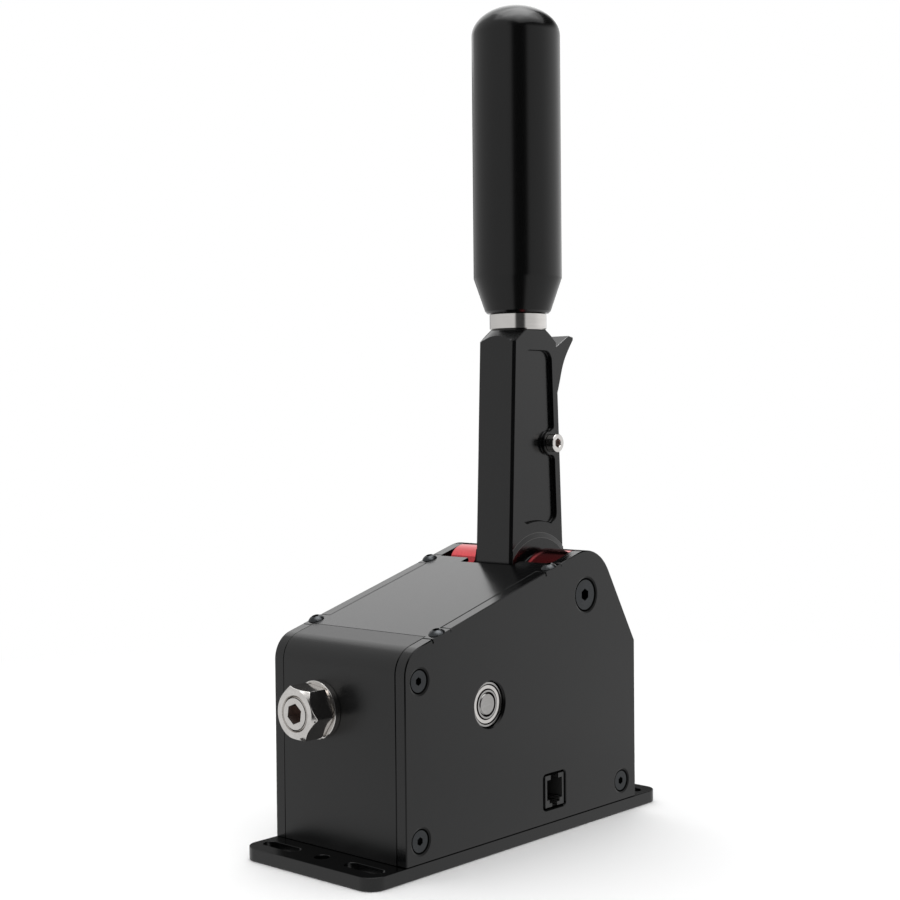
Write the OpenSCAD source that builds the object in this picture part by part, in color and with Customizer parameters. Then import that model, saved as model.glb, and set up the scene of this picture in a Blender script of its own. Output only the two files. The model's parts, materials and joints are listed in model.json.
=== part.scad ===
// Hand brake lever for a racing simulator: a pull lever on a pivot between two
// side plates, with a finger trigger, a sprung pull rod and a front stop screw.
// Millimetres. The origin is the middle of the base's underside, +Z is up,
// -Y is the front with the stop screw, and +X is the side with the socket.

/* [Base plate] */
// Width across the base and both side plates
body_w = 63; // [60:0.5:72]
// Length of the base plate
base_l = 160; // [154:1:190]
// Thickness of the base plate
base_t = 4.5; // [4:0.25:6]
// Radius of the base plate's corners
base_corner_r = 6; // [2:0.5:8]
// Width of the fixing slots, and diameter of the middle holes
slot_w = 5.3; // [4.3:0.1:6.5]
// Length of a fixing slot from end to end
slot_l = 16.8; // [12:0.2:20]
// Distance between the middles of two slots side by side
slot_pitch = 40; // [38:0.5:42]

/* [Housing] */
// Length of the housing along the base
body_l = 128; // [124:1:138]
// Thickness of a side plate
side_t = 4.5; // [4:0.25:5]
// Slope of the top cover
slope_deg = 16; // [14:0.1:18]
// Slope of the plates' upper rear edge
rear_slope_deg = 60; // [56:0.5:64]
// Radius of the rounded front corner
front_fillet_r = 9.5; // [6:0.5:12]
// Depth of the front block
front_block_d = 14.8; // [14:0.2:17]
// Thickness of the rear block's wall
rear_wall_t = 4.5; // [3:0.25:6]
// Length of the rear block's slanted part
rear_hood_l = 18; // [8:1:18]
// Depth of the rear block's foot
rear_foot_d = 18; // [17:0.5:20]
// Height of the rear block's foot
rear_foot_h = 15.5; // [14:0.5:22]
// Thickness of the top cover
cover_t = 1.5; // [1:0.1:2]
// Length of an ear of the top cover
ear_l = 9; // [7:0.5:12]
// Height of the lower side screws above the base plate
low_screw_h = 7.5; // [7:0.25:9]
// Height of the upper side screws
high_screw_z = 64.8; // [60:0.2:66]
// Distance of the side screws from the ends of the housing
screw_inset = 7; // [6.5:0.25:9]

/* [Pivot] */
// Distance of the pivot from the rear end of the housing
pivot_inset = 30.5; // [29:0.25:33]
// Height of the pivot
pivot_z = 85; // [82:0.25:90]
// Radius of the plates round the pivot, and of the red collars
hub_r = 16.4; // [16:0.1:17]
// Diameter of the pivot axle
axle_d = 10; // [9:0.25:11]
// Wall of the bushes on the axle
bush_wall = 1.5; // [1:0.25:2]
// Turn of the lever at the end of its pull
pull_deg = 12; // [6:1:12]

/* [Lever] */
// Width of the lever
lever_w = 17.75; // [16:0.25:19]
// Height of the lever's top
lever_top_z = 184; // [183:0.1:205]
// Half of the lever's depth at the pivot
lever_hub_r = 16.65; // [16:0.05:16.9]
// Half of the lever's depth at its top
lever_top_half = 12.8; // [12:0.1:13.5]
// Chamfer of the lever's upright edges
lever_chamfer = 1; // [0.5:0.1:1.4]
// Radius of the flat end that the turned top leaves
crown_r = 10.5; // [9.5:0.1:12]
// Radius of the hub bosses
boss_r = 14.3; // [12:0.1:15]
// Reach of a hub boss from the middle
boss_reach = 12; // [11:0.25:12.5]
// Chamfer of a hub boss
boss_chamfer = 0.6; // [0.3:0.1:1]
// Radius of the foot of the thicker round part above the hub
pad_r = 22.1; // [20:0.1:23]
// Height of that part above the lever's sides
pad_step = 0.5; // [0.3:0.1:0.8]
// Width of that part's sloping edge
pad_edge = 1.9; // [1:0.1:2.5]
// Depth of the side pockets
pocket_d = 1.6; // [1:0.1:1.8]
// Radius about the pivot where a pocket starts
pocket_r = 26.5; // [25:0.25:30]
// Distance of a pocket's end from the lever's top
pocket_top_gap = 7.8; // [7:0.1:12]
// Width of the rim behind a pocket
pocket_rear_rim = 4; // [3.5:0.25:5]
// Width of the rim in front of a pocket
pocket_front_rim = 6; // [5:0.25:7]
// Radius of a pocket's corners
pocket_corner_r = 4; // [3:0.25:5]
// Thickness of the lower arm
tang_t = 8; // [7:0.25:9]

/* [Grip] */
// Diameter of the grip
grip_d = 33.6; // [30:0.2:38]
// Diameter at the grip's lower end
grip_foot_d = 25; // [22:0.5:28]
// Length of the grip
grip_l = 116.4; // [100:0.2:130]
// Length of the grip's lower cone
grip_cone_l = 13.4; // [8:0.2:20]
// Height of the grip's domed end
dome_h = 11.4; // [8:0.2:16]
// Diameter of the steel ring under the grip
ring_d = 21.6; // [18:0.1:24]
// Height of the steel ring
ring_h = 6.4; // [4:0.2:8]
// Diameter of the stud that holds the grip
grip_stud_d = 10; // [8:0.5:11]

/* [Trigger] */
// Distance of the trigger's pivot behind the lever's pivot
trigger_back = 8.6; // [8:0.1:9]
// Height of the trigger's pivot above the lever's pivot
trigger_up = 55.9; // [52:0.1:57]
// Width of the trigger
trigger_w = 11; // [9:0.25:11.5]
// Radius of the trigger's hub
trigger_hub_r = 4; // [3.5:0.1:4.2]
// Radius of the hollow that the finger lies in
finger_r = 92; // [80:1:120]
// Length of the trigger's tail below its pivot
tail_l = 15; // [10:0.5:18]
// Turn of the trigger at the end of its pull
squeeze_deg = 5; // [3:0.5:5]
// Radius of the boss round the trigger's screw
trigger_boss_r = 4.6; // [4.2:0.1:5.4]
// Radius of the blend from that boss to the rim behind it
boss_blend_r = 2; // [1:0.25:2.5]

/* [Pull rod and stop screw] */
// Distance of the rod to the left of the middle
rod_left = 8.5; // [8:0.1:9.5]
// Height of the rod and of the cross bar's bearings
rod_z = 52.1; // [50:0.1:54]
// Diameter of the pull rod
rod_d = 8; // [7:0.25:8.5]
// Distance of the cross bar from the front end of the housing
bar_inset = 42.4; // [40:0.1:44]
// Diameter of the cross bar
bar_d = 12; // [10:0.5:13]
// Depth of the cross bar's block
block_d = 16; // [14:0.5:18]
// Height of the cross bar's block
block_h = 19; // [17:0.5:22]
// Outer diameter of the bearings
bearing_od = 16; // [15.5:0.1:17]
// Bore of the bearings
bearing_bore_d = 8; // [7.5:0.1:8.5]
// Width of the bearings
bearing_w = 5; // [4:0.25:5]
// Depth of a bearing below the plate's outer face
bearing_sunk = 1.2; // [0.5:0.1:1.5]
// Diameter of the stop screw
stop_d = 12; // [10:0.5:12]
// Reach of the stop screw into the front block
stop_reach = 8.5; // [6:0.25:10]
// Size of the hexagon socket in the stop screw
stop_hex = 6; // [5:0.5:6]
// Turn of the stop screw as it is set
stop_turn_deg = 38; // [0:1:59]
// Width of the lock nut across its flats
nut_s = 17; // [16.5:0.5:19]
// Height of the lock nut
nut_h = 9.5; // [8:0.5:12]
// Turn of the lock nut as it is tightened
nut_turn_deg = 7; // [0:1:59]
// Diameter of the washer
washer_d = 20; // [19:0.5:24]
// Thickness of the washer
washer_t = 2.5; // [1.5:0.1:3]
// Diameter of the return spring at the middle of its wire
spring_d = 14.4; // [13.5:0.1:15]
// Diameter of the return spring's wire
spring_wire = 2.4; // [1.8:0.1:2.5]
// Turns of the return spring
spring_turns = 5; // [4:0.5:5]

/* [Socket and board] */
// Distance of the socket from the rear end of the housing
jack_inset = 49.7; // [48.5:0.1:51]
// Height of the socket's middle above the base plate
jack_h = 11.4; // [11:0.1:14]
// Width of the socket
jack_w = 11; // [10.8:0.1:12]
// Height of the socket
jack_tall = 11.9; // [11.5:0.1:12.5]
// Width of the plug's hollow
plug_w = 8.2; // [7.8:0.1:8.6]
// Height of the plug's hollow
plug_h = 6.9; // [6.5:0.1:7.2]
// Depth of the plug's hollow
plug_d = 11.5; // [9:0.5:13]
// Thickness of the circuit board
board_t = 1.6; // [1.2:0.1:2]
// Length of the board's spacers
spacer_l = 11.4; // [11:0.1:12]

/* [Hidden] */
$fn = 48;
// Radial gaps: pieces fixed together, turning fits, and pieces that pass
fixed_gap = 0.02;
turning_gap = 0.05;
passing_gap = 0.3;

half_w = body_w / 2;
inner_w = half_w - side_t;
front_y = -body_l / 2;
rear_y = body_l / 2;
pivot_y = rear_y - pivot_inset;
bar_y = front_y + bar_inset;
jack_y = rear_y - jack_inset;
mount_row = (base_l + body_l) / 4;

// Top slope: a line that touches the round end about the pivot
function slope_z(y) = pivot_z + hub_r / cos(slope_deg) + (y - pivot_y) * tan(slope_deg);
rear_normal = 90 - rear_slope_deg;
rear_z = pivot_z + (hub_r - (rear_y - pivot_y) * cos(rear_normal)) / sin(rear_normal);
fillet_y = front_y + front_fillet_r;
fillet_z = slope_z(fillet_y) - front_fillet_r / cos(slope_deg);

// Top cover
cover_front_y = front_y + front_block_d;
cover_rear_y = pivot_y - hub_r + 0.8;
cover_gap = 0.2;
lever_slot_w = 2 * (boss_reach + 0.7);
ear_front_y = cover_front_y + 3.2;
ear_rear_y = cover_rear_y - 3.7;

// Fasteners: thread, head and socket sizes of the common metric screws
cover_screw = [3, 6, 1.65, 2, 8];
side_screw_d = 4;
side_screw_head_d = 8;
side_screw_hole_d = 9;
side_screw_hex = 2.5;
side_screw_l = 14;
pivot_screw_d = 6;
pivot_screw_head_d = 12;
pivot_screw_hole_d = 13.1;
pivot_screw_hex = 4;
pivot_screw_l = 16;
base_screw_x = 10;
board_screw_d = 2.5;
low_screw_z = base_t + low_screw_h;
side_screw_places = [
    [front_y + screw_inset, high_screw_z],
    [front_y + screw_inset, low_screw_z],
    [rear_y - rear_foot_d / 2, low_screw_z]
];
base_screw_places = [for (x = [-1, 1], y = [front_y + screw_inset, rear_y - rear_foot_d / 2])
    [x * base_screw_x, y]];

// Lever
lever_rise = lever_top_z - pivot_z;
// Tilt of the front and rear faces, which touch the round hub
lever_tilt = asin(lever_hub_r / norm([lever_top_half, lever_rise])) - atan2(lever_top_half, lever_rise);
// Distance from the lever's middle to a line that lies inset from its front or rear face
function lever_half(z, inset) = (lever_hub_r - inset - (z - pivot_z) * sin(lever_tilt)) / cos(lever_tilt);
// Reach of the lever's front face at the cover, at the end of its pull
pulled_tilt = pull_deg - lever_tilt;
cover_rise = slope_z(pivot_y - lever_hub_r) - pivot_z;
pulled_reach = (lever_hub_r + cover_rise * sin(pulled_tilt)) / cos(pulled_tilt);
lever_slot_y = pivot_y - pulled_reach - 0.7;
bush_od = axle_d + 2 * bush_wall;
arm_end_r = 8;
grip_stud_l = 60;
grip_stud_low_z = lever_top_z - 20;
grip_z = lever_top_z + ring_h;
pocket_top_z = lever_top_z - pocket_top_gap;

// Trigger
trigger_y = pivot_y + trigger_back;
trigger_z = pivot_z + trigger_up;
trigger_slot_w = trigger_w + 2 * passing_gap;
trigger_slot_top = 39.1;
trigger_tip = [18.7, 41];
trigger_tip_t = 1.1;
trigger_heel = [5, 5];
trigger_screw_d = 4;
trigger_screw_head_d = 7;
trigger_screw_head_h = 3.4;
trigger_spring_up = 15.5;
trigger_spring_depth = 7;
trigger_spring_d = 3.8;
trigger_spring_wire = 0.6;
trigger_spring_turns = 6;
trigger_spring_l = 8.1;
switch_up = 9.2;
switch_size = [8, 5, 6];

// Pull rod
rod_x = -rod_left;
block_w = 21;
seat_flange_d = spring_d + spring_wire + 1.2;
seat_flange_t = 2.5;
seat_hub_l = 4;
seat_bore_d = seat_flange_d + 3;
stop_end_y = front_y + stop_reach;
rod_front_y = stop_end_y + passing_gap;
seat_y = rod_front_y + 2.2;
spring_front_y = seat_y + seat_flange_t;
spring_rear_y = bar_y - block_d / 2;
eye_r = 9;
eye_w = 8;
eye_neck_l = 11;
eye_x = -tang_t / 2 - 0.5 - eye_w;
rod_end_front_y = pivot_y - eye_r - eye_neck_l;
rod_bolt_d = 6;
rod_bolt_s = 10;
rod_bolt_head_h = 4;
rod_nut_h = 5;
rod_play = 0.4;
bush_t = 2;

// Bearings, from the inner face of the inner ring outwards
bearing_x = half_w - bearing_sunk - bearing_w;
ring_wall = (bearing_od - bearing_bore_d) * 0.16;
pitch_r = (bearing_od + bearing_bore_d) / 4;
ball_r = (bearing_od - bearing_bore_d) * 0.14;
ball_count = 9;
shield_t = 0.3;
shield_sunk = 0.3;
ring_chamfer = 0.25;
bar_chamfer = 0.4;

// Socket and board
jack_z = base_t + jack_h;
jack_sunk = 0.4;
jack_gap = 0.5;
// More of the plate's opening shows in front of the socket than behind it
jack_front_gap = 1.4;
jack_corner_r = 1.5;
cavity_z = jack_z + 0.45;
jack_wall = 0.4;
plug_key_up = jack_z + jack_tall / 2 - jack_wall - cavity_z;
plug_key_down = cavity_z - jack_z + jack_tall / 2 - jack_wall;
plug_step_down = (plug_h / 2 + plug_key_down) / 2;
magnet_d = 8;
magnet_h = 4;
sensor_z = pivot_z - lever_hub_r - magnet_d / 2 - passing_gap;
sensor_size = [1.6, 5, 4];
board_x = inner_w - spacer_l - board_t;
spacer_d = 5;
board_foot_gap = 2.5;
board_rim = 4.5;
board_y = [jack_y - jack_w / 2 - spacer_d - passing_gap, pivot_y + board_rim + sensor_size[1] / 2];
board_z = [base_t + board_foot_gap, pivot_z - hub_r - 1.6];
board_corner_r = 2;
board_high_z = sensor_z - sensor_size[2] / 2 - board_rim;
board_hole_places = [
    [board_y[0] + board_rim, board_high_z],
    [board_y[1] - board_rim, board_high_z],
    [board_y[1] - board_rim, board_z[0] + board_rim],
    [board_y[0] + board_rim, jack_z + jack_tall / 2 + spacer_d]
];
contact_count = 4;
contact_pitch = 1.02;

// Places and orientation

// Draws a (y, z) outline as a slab between two x values
module along_x(x0, x1) {
    translate([x0, 0, 0]) rotate([90, 0, 90]) linear_extrude(x1 - x0) children();
}

module x_rod(x0, x1, d, y, z) {
    translate([x0, y, z]) rotate([0, 90, 0]) cylinder(h = x1 - x0, d = d);
}

module y_rod(y0, y1, d, x, z) {
    translate([x, y0, z]) rotate([-90, 0, 0]) cylinder(h = y1 - y0, d = d);
}

// Places a piece on the sloping top, with its own z square to the slope
module on_slope(x, y) {
    translate([x, y, slope_z(y)]) rotate([slope_deg, 0, 0]) children();
}

// Turns a piece so that its own z points out of a side plate
module on_side(x, y, z) {
    translate([x, y, z]) rotate([0, 90, 0]) children();
}

module both_sides() {
    children();
    mirror([1, 0, 0]) children();
}

// Outlines

function edge_normal(a, b) = [b[1] - a[1], a[0] - b[0]] / norm(b - a);

// Convex outline whose corners are arcs about the given points, in counter-clockwise order
module rounded_outline(points, r) {
    n = len(points);
    polygon([for (i = [0:n - 1], side = [n - 1, 0])
        points[i] + r * edge_normal(points[(i + side) % n], points[(i + side + 1) % n])]);
    for (p = points) translate(p) circle(r);
}

module rounded_rect(w, h, r) {
    x = w / 2 - r;
    y = h / 2 - r;
    rounded_outline([[-x, -y], [x, -y], [x, y], [-x, y]], r);
}

// Slot with round ends, along x
module slot_outline(l, w) {
    square([l - w, w], center = true);
    for (x = [-1, 1]) translate([x * (l - w) / 2, 0]) circle(d = w);
}

// Side view of the housing, as (y, z)
module housing_outline() {
    polygon([
        [front_y, base_t],
        [rear_y, base_t],
        [rear_y, rear_z],
        [pivot_y + hub_r * cos(rear_normal), pivot_z + hub_r * sin(rear_normal)],
        [pivot_y, pivot_z],
        [pivot_y - hub_r * sin(slope_deg), pivot_z + hub_r * cos(slope_deg)],
        [fillet_y - front_fillet_r * sin(slope_deg), fillet_z + front_fillet_r * cos(slope_deg)],
        [fillet_y, fillet_z],
        [front_y, fillet_z]
    ]);
    translate([pivot_y, pivot_z]) circle(hub_r);
    translate([fillet_y, fillet_z]) circle(front_fillet_r);
}

// Fasteners, each with its head's face at z = 0 and its shank below

module hex_socket(s, depth) {
    translate([0, 0, -depth]) cylinder(h = depth + 1, d = s / cos(30), $fn = 6);
}

module countersunk_screw(d, head_d, l, hex) {
    head_h = (head_d - d) / 2;
    difference() {
        union() {
            translate([0, 0, -head_h]) cylinder(h = head_h, d1 = d, d2 = head_d);
            translate([0, 0, -l]) cylinder(h = l - head_h, d = d);
        }
        hex_socket(hex, hex * 0.6);
    }
}

// Hole for that screw, whose head lies below the face
module countersunk_hole(d, hole_d, l) {
    hole_h = (hole_d - d) / 2;
    translate([0, 0, -hole_h]) cylinder(h = hole_h, d1 = d, d2 = hole_d);
    translate([0, 0, -l]) cylinder(h = l, d = d + 2 * fixed_gap);
    cylinder(h = 1, d = hole_d);
}

function sunk(head_d, hole_d) = (hole_d - head_d) / 2 - fixed_gap;

module button_screw(size) {
    head_r = size[1] / 2;
    dome_r = (head_r * head_r + size[2] * size[2]) / (2 * size[2]);
    difference() {
        union() {
            intersection() {
                translate([0, 0, size[2] - dome_r]) sphere(dome_r);
                cylinder(h = size[2], r = head_r);
            }
            translate([0, 0, -size[4]]) cylinder(h = size[4] + 0.1, d = size[0]);
        }
        translate([0, 0, size[2]]) hex_socket(size[3], size[2] * 0.65);
    }
}

module hex_prism(s, h) {
    cylinder(h = h, d = s / cos(30), $fn = 6);
}

// Helical spring as one tube along z, its least gap to itself printed
module coil(mean_d, wire, l, turns, label) {
    rings_per_turn = 16;
    sides = 6;
    count = round(turns * rings_per_turn);
    climb = l - wire;
    centres = [for (i = [0:count]) let (a = 360 * i / rings_per_turn)
        [mean_d / 2 * cos(a), mean_d / 2 * sin(a), wire / 2 + climb * i / count]];
    points = [for (i = [0:count], k = [0:sides - 1])
        let (a = 360 * i / rings_per_turn, b = 360 * k / sides, out = wire / 2 * cos(b))
        centres[i] + [out * cos(a), out * sin(a), wire / 2 * sin(b)]];
    walls = [for (i = [0:count - 1], k = [0:sides - 1])
        let (p = i * sides + k, q = i * sides + (k + 1) % sides)
        each [[p, q, p + sides], [q, q + sides, p + sides]]];
    ends = [for (k = [1:sides - 2])
        each [[0, k + 1, k], [count * sides, count * sides + k, count * sides + k + 1]]];
    gaps = [for (i = [0:count - rings_per_turn]) norm(centres[i + rings_per_turn] - centres[i]) - wire];
    echo(str(label, " least gap ", min(gaps)));
    polyhedron(points, concat(walls, ends));
}

// Base and housing

module base_plate() {
    color("dimgray") difference() {
        linear_extrude(base_t) difference() {
            rounded_rect(body_w, base_l, base_corner_r);
            for (y = [-mount_row, mount_row]) {
                translate([0, y]) circle(d = slot_w);
                for (x = [-1, 1]) translate([x * slot_pitch / 2, y]) slot_outline(slot_l, slot_w);
            }
        }
        for (p = base_screw_places)
            translate([p[0], p[1], 0]) mirror([0, 0, 1])
                countersunk_hole(side_screw_d, side_screw_hole_d, base_t + 1);
    }
}

module base_screws() {
    color("black") for (p = base_screw_places)
        translate([p[0], p[1], sunk(side_screw_head_d, side_screw_hole_d)]) mirror([0, 0, 1])
            countersunk_screw(side_screw_d, side_screw_head_d, side_screw_l, side_screw_hex);
}

// The holes that both side plates share, drawn for the right-hand one
module plate_cuts() {
    for (p = side_screw_places)
        on_side(half_w, p[0], p[1]) countersunk_hole(side_screw_d, side_screw_hole_d, side_t + 1);
    on_side(half_w, pivot_y, pivot_z) countersunk_hole(pivot_screw_d, pivot_screw_hole_d, side_t + 1);
    x_rod(inner_w - 1, half_w + 1, bearing_od + 2 * fixed_gap, bar_y, rod_z);
    for (y = [ear_front_y, ear_rear_y]) on_slope(inner_w + side_t / 2, y) {
        translate([-side_t, -ear_l / 2 - cover_gap, -cover_t])
            cube([2 * side_t, ear_l + 2 * cover_gap, 2 * cover_t]);
        translate([0, 0, -cover_screw[4] - 1])
            cylinder(h = cover_screw[4] + 1, d = cover_screw[0] + 2 * fixed_gap);
    }
}

module plain_side_plate() {
    difference() {
        along_x(inner_w, half_w) housing_outline();
        plate_cuts();
    }
}

module right_side_plate() {
    color("dimgray") difference() {
        plain_side_plate();
        along_x(inner_w - 1, half_w + 1) translate([jack_y + (jack_gap - jack_front_gap) / 2, jack_z])
            rounded_rect(jack_w + jack_gap + jack_front_gap, jack_tall + 2 * jack_gap, jack_corner_r);
    }
}

module left_side_plate() {
    color("dimgray") mirror([1, 0, 0]) plain_side_plate();
}

module side_plate_screws() {
    color("black") both_sides() for (p = side_screw_places)
        on_side(half_w - sunk(side_screw_head_d, side_screw_hole_d), p[0], p[1])
            countersunk_screw(side_screw_d, side_screw_head_d, side_screw_l, side_screw_hex);
}

module block_screw_holes() {
    hole_d = side_screw_d + 2 * fixed_gap;
    for (p = side_screw_places)
        both_sides() x_rod(half_w - side_screw_l - 1, half_w, hole_d, p[0], p[1]);
    for (p = base_screw_places)
        translate([p[0], p[1], 0]) cylinder(h = side_screw_l + 1, d = hole_d);
}

module front_block() {
    color("dimgray") difference() {
        along_x(-inner_w, inner_w) intersection() {
            housing_outline();
            translate([front_y, 0]) square([front_block_d, pivot_z + hub_r]);
        }
        block_screw_holes();
        y_rod(front_y - 1, cover_front_y + 1, stop_d + 2 * turning_gap, rod_x, rod_z);
        y_rod(stop_end_y - passing_gap, cover_front_y + 1, seat_bore_d, rod_x, rod_z);
    }
}

// Foot, upright wall and slanted hood that close the back between the plates
module rear_block() {
    along = [-cos(rear_slope_deg), sin(rear_slope_deg)];
    inward = [-sin(rear_slope_deg), -cos(rear_slope_deg)];
    corner = [rear_y, rear_z];
    hood_end = corner + rear_hood_l * along;
    inner_corner_z = rear_z - rear_wall_t * tan((90 - rear_slope_deg) / 2);
    color("dimgray") difference() {
        along_x(-inner_w, inner_w) polygon([
            [rear_y - rear_foot_d, base_t],
            [rear_y, base_t],
            corner,
            hood_end,
            hood_end + rear_wall_t * inward,
            [rear_y - rear_wall_t, inner_corner_z],
            [rear_y - rear_wall_t, base_t + rear_foot_h],
            [rear_y - rear_foot_d, base_t + rear_foot_h]
        ]);
        block_screw_holes();
    }
}

module top_cover() {
    sheet_l = (cover_rear_y - cover_front_y) / cos(slope_deg);
    sheet_w = 2 * (inner_w - cover_gap);
    slot_back = (cover_rear_y - lever_slot_y) / cos(slope_deg);
    color("dimgray") on_slope(0, cover_front_y) translate([0, 0, -cover_t]) linear_extrude(cover_t)
        difference() {
            union() {
                translate([-sheet_w / 2, 0]) square([sheet_w, sheet_l]);
                both_sides() for (y = [ear_front_y, ear_rear_y])
                    translate([inner_w - 2 * cover_gap, (y - cover_front_y) / cos(slope_deg) - ear_l / 2])
                        square([side_t + 2 * cover_gap, ear_l]);
            }
            translate([-inner_w, -ear_l]) square([2 * inner_w, ear_l]);
            translate([-lever_slot_w / 2, sheet_l - slot_back]) square([lever_slot_w, slot_back + 1]);
            for (x = [-1, 1], y = [ear_front_y, ear_rear_y])
                translate([x * (inner_w + side_t / 2), (y - cover_front_y) / cos(slope_deg)])
                    circle(d = cover_screw[0] + 2 * turning_gap);
        }
}

module cover_screws() {
    color("black") both_sides() for (y = [ear_front_y, ear_rear_y])
        on_slope(inner_w + side_t / 2, y) button_screw(cover_screw);
}

// Pivot

module pivot_axle() {
    color("silver") difference() {
        x_rod(-inner_w, inner_w, axle_d, pivot_y, pivot_z);
        both_sides() x_rod(half_w - pivot_screw_l - 1, half_w, pivot_screw_d + 2 * fixed_gap,
            pivot_y, pivot_z);
    }
}

module pivot_screws() {
    color("black") both_sides()
        on_side(half_w - sunk(pivot_screw_head_d, pivot_screw_hole_d), pivot_y, pivot_z)
            countersunk_screw(pivot_screw_d, pivot_screw_head_d, pivot_screw_l, pivot_screw_hex);
}

// Red collar on the axle, between a side plate and the lever's hub
module hub_collar() {
    edge = 0.5;
    start = boss_reach + passing_gap;
    difference() {
        union() {
            x_rod(start + edge, inner_w, 2 * hub_r, pivot_y, pivot_z);
            on_side(start, pivot_y, pivot_z) cylinder(h = edge, r1 = hub_r - edge, r2 = hub_r);
        }
        x_rod(0, half_w, axle_d + 2 * turning_gap, pivot_y, pivot_z);
    }
}

module right_hub_collar() {
    color("crimson") hub_collar();
}

module left_hub_collar() {
    color("crimson") mirror([1, 0, 0]) hub_collar();
}

// Bearings of the cross bar

// Ring drawn from a (radius, width) outline, with the race for the balls cut out
module bearing_ring(r0, r1) {
    on_side(bearing_x, bar_y, rod_z) rotate_extrude() difference() {
        polygon([
            [r0 + ring_chamfer, 0],
            [r1 - ring_chamfer, 0],
            [r1, ring_chamfer],
            [r1, bearing_w - ring_chamfer],
            [r1 - ring_chamfer, bearing_w],
            [r0 + ring_chamfer, bearing_w],
            [r0, bearing_w - ring_chamfer],
            [r0, ring_chamfer]
        ]);
        translate([pitch_r, bearing_w / 2]) circle(ball_r + turning_gap);
    }
}

module bearing_outer_rings() {
    color("silver") both_sides() bearing_ring(bearing_od / 2 - ring_wall, bearing_od / 2);
}

module bearing_inner_rings() {
    color("silver") both_sides() bearing_ring(bearing_bore_d / 2, bearing_bore_d / 2 + ring_wall);
}

module bearing_balls() {
    color("silver") both_sides() on_side(bearing_x + bearing_w / 2, bar_y, rod_z)
        for (i = [0:ball_count - 1]) rotate(360 * i / ball_count) translate([pitch_r, 0, 0]) sphere(ball_r);
}

module bearing_shields() {
    inner_r = bearing_bore_d / 2 + ring_wall + turning_gap;
    outer_r = bearing_od / 2 - ring_wall - fixed_gap;
    color("gray") both_sides() for (x = [shield_sunk, bearing_w - shield_sunk - shield_t])
        on_side(bearing_x + x, bar_y, rod_z) linear_extrude(shield_t) difference() {
            circle(outer_r);
            circle(inner_r);
        }
}

// Cross bar that swivels in the bearings and guides the pull rod

module bar_end_journal() {
    journal_d = bearing_bore_d - 2 * fixed_gap;
    end_x = bearing_x + bearing_w;
    x_rod(0, end_x - bar_chamfer, journal_d, bar_y, rod_z);
    on_side(end_x - bar_chamfer, bar_y, rod_z)
        cylinder(h = bar_chamfer, d1 = journal_d, d2 = journal_d - 2 * bar_chamfer);
}

module cross_bar() {
    shoulder_d = bearing_bore_d + ring_wall;
    bar_end = bearing_x - 0.8;
    color("gray") difference() {
        union() {
            x_rod(-bar_end, bar_end, bar_d, bar_y, rod_z);
            x_rod(-bearing_x, bearing_x, shoulder_d, bar_y, rod_z);
            both_sides() bar_end_journal();
            translate([rod_x - block_w / 2, bar_y - block_d / 2, rod_z - block_h / 2])
                cube([block_w, block_d, block_h]);
        }
        y_rod(bar_y - block_d, bar_y + block_d, rod_d + 2 * (rod_play + bush_t + fixed_gap), rod_x, rod_z);
    }
}

module cross_bar_bush() {
    color("goldenrod") difference() {
        y_rod(bar_y - block_d / 2, bar_y + block_d / 2, rod_d + 2 * (rod_play + bush_t), rod_x, rod_z);
        y_rod(bar_y - block_d, bar_y + block_d, rod_d + 2 * rod_play, rod_x, rod_z);
    }
}

// Stop screw at the front

module stop_screw() {
    edge = 1;
    start = front_y - washer_t - nut_h;
    color("silver") difference() {
        translate([rod_x, start, rod_z]) rotate([-90, 0, 0]) rotate_extrude() polygon([
            [0, 0],
            [stop_d / 2 - edge, 0],
            [stop_d / 2, edge],
            [stop_d / 2, stop_end_y - start - edge],
            [stop_d / 2 - edge, stop_end_y - start],
            [0, stop_end_y - start]
        ]);
        translate([rod_x, start, rod_z]) rotate([90, stop_turn_deg, 0]) hex_socket(stop_hex, stop_hex);
    }
}

// Hexagon whose corners are chamfered on both faces
module lock_nut() {
    corner_r = nut_s / 2 / cos(30);
    bevel = (corner_r - nut_s / 2 * 0.97) * tan(30);
    mouth = 0.7;
    color("silver") translate([rod_x, front_y - washer_t, rod_z]) rotate([90, nut_turn_deg, 0])
        difference() {
            intersection() {
                hex_prism(nut_s, nut_h);
                rotate_extrude() polygon([
                    [0, 0],
                    [nut_s / 2 * 0.97, 0],
                    [corner_r, bevel],
                    [corner_r, nut_h - bevel],
                    [nut_s / 2 * 0.97, nut_h],
                    [0, nut_h]
                ]);
            }
            translate([0, 0, -1]) cylinder(h = nut_h + 2, d = stop_d + 2 * turning_gap);
            translate([0, 0, nut_h - mouth]) cylinder(h = 2 * mouth, d1 = stop_d, d2 = stop_d + 4 * mouth);
        }
}

module lock_washer() {
    color("silver") translate([rod_x, front_y, rod_z]) rotate([90, 0, 0]) linear_extrude(washer_t)
        difference() {
            circle(d = washer_d);
            circle(d = stop_d + 1);
        }
}

// Socket and circuit board

// Front view of the plug's hollow, as (y, z) about its middle, with keys above and below
module plug_outline() {
    square([plug_w, plug_h], center = true);
    for (key = [[0.48, plug_key_up], [0.66, -plug_step_down], [0.3, -plug_key_down]])
        translate([0, key[1] / 2]) square([plug_w * key[0], abs(key[1])], center = true);
}

module modular_jack() {
    face_x = half_w - jack_sunk;
    color("black") difference() {
        along_x(inner_w - spacer_l, face_x) translate([jack_y, jack_z])
            square([jack_w, jack_tall], center = true);
        along_x(face_x - plug_d, face_x + 1) translate([jack_y, cavity_z]) plug_outline();
    }
}

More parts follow.
